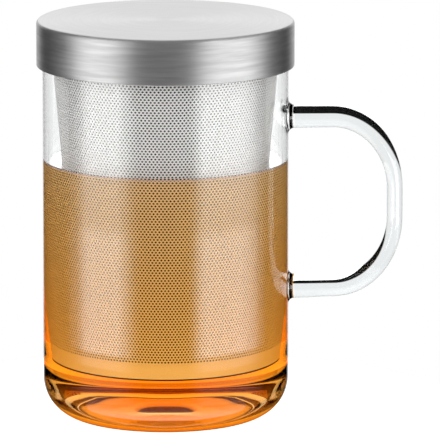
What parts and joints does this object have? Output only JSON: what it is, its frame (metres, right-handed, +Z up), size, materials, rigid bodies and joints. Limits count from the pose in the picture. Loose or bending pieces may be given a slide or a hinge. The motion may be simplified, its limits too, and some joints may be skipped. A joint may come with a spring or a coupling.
{
  "type": "lidded tea mug with infuser",
  "caption": "Straight clear glass mug with a side handle, a tapered perforated steel infuser that lifts out and an overhanging steel lid.",
  "frame": {"origin": "on the mug's axis, on the flat face that it stands on", "axes": "+Z up along the mug's axis, +X towards the handle, the part is symmetric about the XZ plane"},
  "size_m": [0.1264, 0.089, 0.139],
  "materials": {
    "glass": "clear fire-polished borosilicate glass",
    "infuser_steel": "etched and perforated stainless sheet, satin",
    "lid_steel": "brushed around the skirt, spun satin on top",
    "silicone": "translucent white silicone, matt"
  },
  "bodies": {
    "mug": {"glass_body": "glass", "glass_handle": "glass"},
    "infuser": {"infuser_screen": "infuser_steel", "infuser_floor": "infuser_steel", "infuser_collar": "infuser_steel"},
    "lid": {"lid_cap": "lid_steel", "lid_liner": "lid_steel", "lid_seal": "silicone"}
  },
  "joints": [
    {"name": "infuser_lift", "type": "slide", "parent": "mug", "child": "infuser", "axis": [0, 0, 1], "range_m": [0, 0.125]},
    {"name": "lid_lift", "type": "slide", "parent": "infuser", "child": "lid", "axis": [0, 0, 1], "range_m": [0, 0.04]}
  ]
}
